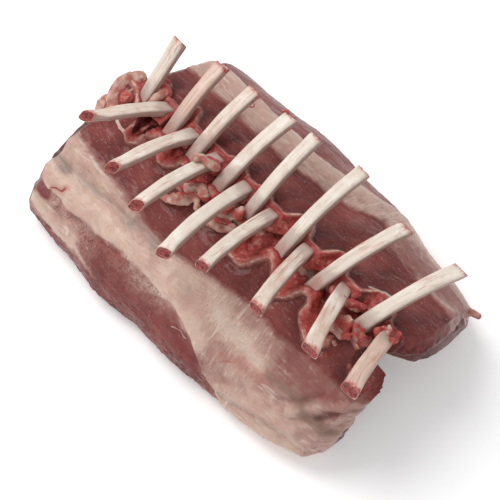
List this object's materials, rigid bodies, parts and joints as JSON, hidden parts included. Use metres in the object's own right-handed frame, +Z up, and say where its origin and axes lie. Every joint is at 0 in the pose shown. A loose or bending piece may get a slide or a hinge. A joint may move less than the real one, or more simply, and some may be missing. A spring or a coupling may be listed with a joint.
{
  "type": "rack of lamb",
  "caption": "Raw rack of lamb as a guard of honour: two trimmed racks stand on their meat and lean together, with bared, curved ribs crossing in turn along the top.",
  "frame": {"origin": "middle of the underside, on the table, below the ridge where the two racks meet", "axes": "+X along the racks, from the thick shoulder end to the thinner end; +Y from the near rack to the far rack; +Z up"},
  "size_m": [0.207, 0.1466, 0.0857],
  "materials": {
    "meat": "raw lamb: dark red muscle under pale fat and silverskin, moist and glossy",
    "bone": "scraped rib bone, cream white with pink stains and red sawn ends"
  },
  "bodies": {
    "root": {"near_meat": "meat", "far_meat": "meat", "near_rib_1": "bone", "near_rib_2": "bone", "near_rib_3": "bone", "near_rib_4": "bone", "near_rib_5": "bone", "near_rib_6": "bone", "near_rib_7": "bone", "near_rib_8": "bone", "far_rib_1": "bone", "far_rib_2": "bone", "far_rib_3": "bone", "far_rib_4": "bone", "far_rib_5": "bone", "far_rib_6": "bone", "far_rib_7": "bone", "far_rib_8": "bone"}
  },
  "joints": []
}
